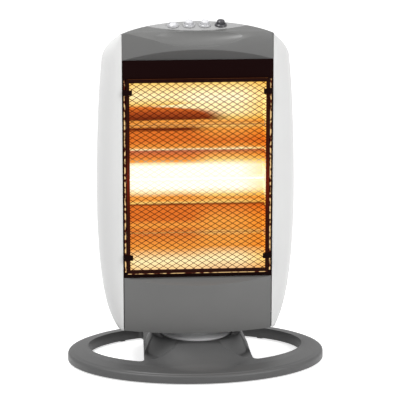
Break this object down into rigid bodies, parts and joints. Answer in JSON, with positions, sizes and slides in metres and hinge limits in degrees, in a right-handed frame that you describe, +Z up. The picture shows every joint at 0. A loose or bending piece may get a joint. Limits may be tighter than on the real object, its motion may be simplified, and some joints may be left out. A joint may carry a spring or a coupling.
{
  "type": "halogen heater",
  "caption": "Upright halogen heater: quartz tubes and reflector behind a diamond guard, push-button top, housing that swivels on an oval foot.",
  "frame": {"origin": "on the floor, on the swivel axis at the middle of the oval foot", "axes": "+Z up, front faces -Y, +X to the right of someone who looks at the front"},
  "size_m": [0.396, 0.27, 0.5361],
  "materials": {
    "panel_plastic": "satin graphite grey moulding",
    "foot_plastic": "satin graphite grey moulding",
    "side_plastic": "satin light silver paint on plastic",
    "control_plastic": "satin mid grey paint",
    "silver_plastic": "bright silver plating",
    "dark_plastic": "gloss dark grey",
    "black_steel": "heat-proof black paint",
    "black_plastic": "matte black",
    "polished_steel": "bright rolled sheet",
    "motor_steel": "passivated steel",
    "quartz": "clear quartz",
    "filament": "tungsten coil",
    "ceramic": "unglazed white ceramic",
    "rubber": "matte black rubber",
    "nylon": "natural moulded nylon"
  },
  "bodies": {
    "foot": {"foot_shell": "foot_plastic", "foot_cover": "black_plastic", "foot_pad_front_left": "rubber", "foot_pad_rear_left": "rubber", "foot_pad_front_right": "rubber", "foot_pad_rear_right": "rubber", "bearing_bush": "nylon", "drive_fork": "nylon", "tip_switch": "black_plastic"},
    "heater": {"swivel_disc": "panel_plastic", "spigot_retainer": "nylon", "swing_motor": "motor_steel", "side_panel_right": "side_plastic", "side_panel_left": "side_plastic", "top_panel": "panel_plastic", "lower_panel": "panel_plastic", "rear_panel": "panel_plastic", "cable_gland": "black_plastic", "floor_pan": "black_plastic", "window_baffle": "black_steel", "window_strip_right": "black_steel", "window_strip_left": "black_steel", "window_sill": "black_steel", "guard": "black_steel", "guard_clip_lower_right": "black_steel", "guard_clip_lower_left": "black_steel", "guard_clip_upper_right": "black_steel", "guard_clip_upper_left": "black_steel", "reflector": "polished_steel", "reflector_end_right": "polished_steel", "reflector_end_left": "polished_steel", "tube_glass_1": "quartz", "tube_filament_1": "filament", "tube_cap_right_1": "ceramic", "tube_cap_left_1": "ceramic", "tube_glass_2": "quartz", "tube_filament_2": "filament", "tube_cap_right_2": "ceramic", "tube_cap_left_2": "ceramic", "tube_glass_3": "quartz", "tube_filament_3": "filament", "tube_cap_right_3": "ceramic", "tube_cap_left_3": "ceramic", "control_plate": "control_plastic", "bezel_1": "silver_plastic", "switch_1": "black_plastic", "bezel_2": "silver_plastic", "switch_2": "black_plastic", "bezel_3": "silver_plastic", "switch_3": "black_plastic", "bezel_4": "dark_plastic", "switch_4": "black_plastic"},
    "crank": {"crank": "polished_steel"},
    "plunger": {"tip_plunger": "nylon"},
    "button_1": {"button_1": "silver_plastic"},
    "button_2": {"button_2": "silver_plastic"},
    "button_3": {"button_3": "silver_plastic"},
    "button_4": {"button_4": "dark_plastic"}
  },
  "joints": [
    {"name": "swivel", "type": "hinge", "parent": "foot", "child": "heater", "pos_m": [0, 0, 0.045], "axis": [0, 0, 1], "range_deg": [-35, 35]},
    {"name": "crank_turn", "type": "hinge", "parent": "heater", "child": "crank", "pos_m": [0, -0.038, 0.03], "axis": [0, 0, 1], "range_deg": [-122, 122]},
    {"name": "plunger_slide", "type": "slide", "parent": "foot", "child": "plunger", "axis": [0, 0, 1], "range_m": [-0.004, 0], "stiffness_N_per_m": 60, "springref_m": -0.006},
    {"name": "button_1_press", "type": "slide", "parent": "heater", "child": "button_1", "axis": [0, -0.2183, 0.9759], "range_m": [-0.001, 0.0045]},
    {"name": "button_2_press", "type": "slide", "parent": "heater", "child": "button_2", "axis": [0, -0.2183, 0.9759], "range_m": [-0.0055, 0], "stiffness_N_per_m": 300, "springref_m": 0.002},
    {"name": "button_3_press", "type": "slide", "parent": "heater", "child": "button_3", "axis": [0, -0.2183, 0.9759], "range_m": [-0.0055, 0], "stiffness_N_per_m": 300, "springref_m": 0.002},
    {"name": "button_4_press", "type": "slide", "parent": "heater", "child": "button_4", "axis": [0, -0.2183, 0.9759], "range_m": [-0.0055, 0], "stiffness_N_per_m": 300, "springref_m": 0.002}
  ],
  "couplings": [
    {"joint": "crank_turn", "follows": "swivel", "ratio": -3.4857}
  ]
}
